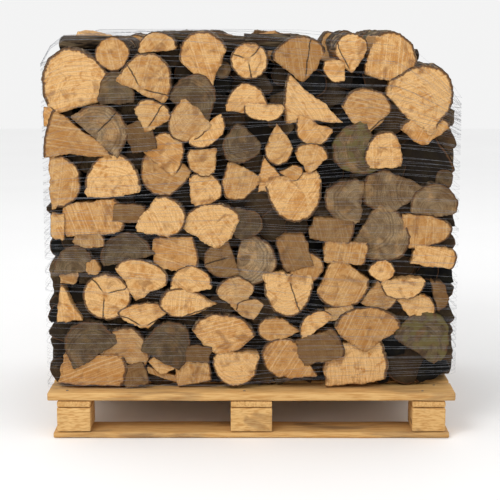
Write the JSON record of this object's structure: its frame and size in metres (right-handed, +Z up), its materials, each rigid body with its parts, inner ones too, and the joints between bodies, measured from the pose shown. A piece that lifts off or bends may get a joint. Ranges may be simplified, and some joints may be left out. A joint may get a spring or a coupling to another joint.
{
  "type": "pallet load of firewood",
  "caption": "Block pallet stacked with short split logs in courses, sawn ends to front and back, held by a stretched net wrapped round the load.",
  "frame": {"origin": "on the ground under the middle of the pallet", "axes": "+Z up, X along the long side of the pallet, -Y the front that the sawn ends face"},
  "size_m": [1.216, 1, 1.1947],
  "materials": {
    "split_wood": "raw split hardwood, sawn pale ends with rings and checks, rough grey-brown bark, some ends weathered grey",
    "pallet_wood": "rough-sawn pine boards with knots, worn edges and nail heads",
    "net": "fine translucent knitted plastic net"
  },
  "bodies": {
    "root": {"block_back_centre": "pallet_wood", "block_back_left": "pallet_wood", "block_back_right": "pallet_wood", "block_front_centre": "pallet_wood", "block_front_left": "pallet_wood", "block_front_right": "pallet_wood", "block_middle_centre": "pallet_wood", "block_middle_left": "pallet_wood", "block_middle_right": "pallet_wood", "bottom_board_back": "pallet_wood", "bottom_board_front": "pallet_wood", "bottom_board_middle": "pallet_wood", "deck_board_1": "pallet_wood", "deck_board_2": "pallet_wood", "deck_board_3": "pallet_wood", "deck_board_4": "pallet_wood", "deck_board_5": "pallet_wood", "deck_board_6": "pallet_wood", "deck_board_7": "pallet_wood", "logs_back_course_1": "split_wood", "logs_back_course_10": "split_wood", "logs_back_course_2": "split_wood", "logs_back_course_3": "split_wood", "logs_back_course_4": "split_wood", "logs_back_course_5": "split_wood", "logs_back_course_6": "split_wood", "logs_back_course_7": "split_wood", "logs_back_course_8": "split_wood", "logs_back_course_9": "split_wood", "logs_front_course_1": "split_wood", "logs_front_course_10": "split_wood", "logs_front_course_2": "split_wood", "logs_front_course_3": "split_wood", "logs_front_course_4": "split_wood", "logs_front_course_5": "split_wood", "logs_front_course_6": "split_wood", "logs_front_course_7": "split_wood", "logs_front_course_8": "split_wood", "logs_front_course_9": "split_wood", "logs_middle_course_1": "split_wood", "logs_middle_course_10": "split_wood", "logs_middle_course_2": "split_wood", "logs_middle_course_3": "split_wood", "logs_middle_course_4": "split_wood", "logs_middle_course_5": "split_wood", "logs_middle_course_6": "split_wood", "logs_middle_course_7": "split_wood", "logs_middle_course_8": "split_wood", "logs_middle_course_9": "split_wood", "net_turn_1": "net", "net_turn_2": "net", "net_turn_3": "net", "net_turn_4": "net", "net_turn_5": "net", "net_turn_6": "net", "net_turn_7": "net", "stringer_centre": "pallet_wood", "stringer_left": "pallet_wood", "stringer_right": "pallet_wood"}
  },
  "joints": []
}
